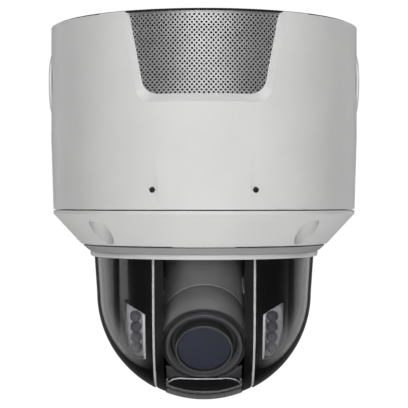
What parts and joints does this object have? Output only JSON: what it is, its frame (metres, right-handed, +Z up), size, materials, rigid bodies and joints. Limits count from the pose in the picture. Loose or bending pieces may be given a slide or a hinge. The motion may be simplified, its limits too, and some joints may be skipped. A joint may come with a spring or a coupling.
{
  "type": "ptz camera",
  "caption": "Ceiling-hung pan-tilt-zoom dome camera: round housing with a front speaker grille, chamfered base ring and a turning dome that holds the tilting zoom lens between infrared lamps.",
  "frame": {"origin": "centre of the top mounting face, which lies against the ceiling plate or bracket", "axes": "+Z up, out of the mounting face; -Y is the front, where the lens and the speaker grille face; +X is to the right seen from the front"},
  "size_m": [0.1722, 0.17, 0.2066],
  "materials": {
    "housing_plastic": "fine moulded texture, warm white",
    "grille_metal": "perforated sheet, pale grey paint",
    "trim_plastic": "satin pale grey",
    "cast_alloy": "as cast, matt",
    "steel": "machined",
    "brass": "satin",
    "rubber": "matt black",
    "black_plastic": "satin black",
    "gloss_black": "polished black",
    "clear_plastic": "clear polycarbonate, polished",
    "tinted_window": "smoke tint",
    "lens_glass": "coated, faint blue and violet",
    "circuit_board": "green solder mask",
    "grey_plastic": "moulded dark grey"
  },
  "bodies": {
    "housing": {"back_plate": "cast_alloy", "rim_gasket": "rubber", "upper_shell": "housing_plastic", "speaker_grille": "grille_metal", "speaker_box": "black_plastic", "speaker_driver": "black_plastic", "base_ring": "housing_plastic", "base_seal": "rubber", "trim_ring": "trim_plastic", "dome_lip_seal": "rubber", "main_board": "circuit_board", "heat_sink": "cast_alloy", "io_board": "circuit_board", "memory_card": "black_plastic", "cable_grommet": "rubber", "chassis_plate": "cast_alloy", "pan_bearing_outer": "steel", "pan_motor": "steel", "pan_belt": "rubber", "slip_ring_stator": "grey_plastic", "conduit_plug_left": "housing_plastic", "conduit_plug_right": "housing_plastic", "microphone_left": "black_plastic", "microphone_right": "black_plastic", "base_screw_1": "steel", "base_screw_2": "steel", "base_screw_3": "steel", "base_screw_4": "steel"},
    "pan_pinion": {"pan_motor_pulley": "grey_plastic"},
    "pan_head": {"turning_deck": "cast_alloy", "pan_bearing_inner": "steel", "pan_pulley": "grey_plastic", "slip_ring_rotor": "brass", "centre_window": "clear_plastic", "side_window_left": "clear_plastic", "side_window_right": "clear_plastic", "head_frame": "gloss_black", "head_shroud_left": "gloss_black", "head_shroud_right": "gloss_black", "ir_window_left": "tinted_window", "ir_window_right": "tinted_window", "ir_board_left": "circuit_board", "ir_board_right": "circuit_board", "yoke_arm_left": "cast_alloy", "yoke_arm_right": "cast_alloy", "tilt_motor": "steel", "tilt_belt": "rubber"},
    "tilt_pinion": {"tilt_motor_pulley": "grey_plastic"},
    "camera_module": {"rear_housing": "black_plastic", "lens_hood": "black_plastic", "hood_bezel": "black_plastic", "lens_barrel": "black_plastic", "front_glass": "lens_glass", "sensor_board": "circuit_board", "tilt_pulley": "grey_plastic", "chin_shield": "gloss_black", "chin_bracket": "cast_alloy"},
    "zoom_carriage": {"zoom_group": "lens_glass"},
    "focus_carriage": {"focus_group": "lens_glass"},
    "filter_slide": {"ir_cut_filter": "tinted_window"}
  },
  "joints": [
    {"name": "pan", "type": "hinge", "parent": "housing", "child": "pan_head", "pos_m": [0, 0, -0.1469], "axis": [0, 0, 1], "continuous": true},
    {"name": "pan_motor_spin", "type": "hinge", "parent": "housing", "child": "pan_pinion", "pos_m": [-0.0485, 0.028, -0.097], "axis": [0, 0, 1], "continuous": true},
    {"name": "tilt", "type": "hinge", "parent": "pan_head", "child": "camera_module", "pos_m": [0, 0, -0.1469], "axis": [1, 0, 0], "range_deg": [-30, 60]},
    {"name": "tilt_motor_spin", "type": "hinge", "parent": "pan_head", "child": "tilt_pinion", "pos_m": [0.0313, 0.015, -0.132], "axis": [1, 0, 0], "range_deg": [-78, 156]},
    {"name": "zoom", "type": "slide", "parent": "camera_module", "child": "zoom_carriage", "axis": [0, -0.866, -0.5], "range_m": [0, 0.014]},
    {"name": "focus", "type": "slide", "parent": "camera_module", "child": "focus_carriage", "axis": [0, -0.866, -0.5], "range_m": [-0.004, 0.008]},
    {"name": "ir_cut", "type": "slide", "parent": "camera_module", "child": "filter_slide", "axis": [1, 0, 0], "range_m": [-0.0108, 0]}
  ],
  "couplings": [
    {"joint": "pan_motor_spin", "follows": "pan", "ratio": 3.75},
    {"joint": "tilt_motor_spin", "follows": "tilt", "ratio": 2.6}
  ]
}
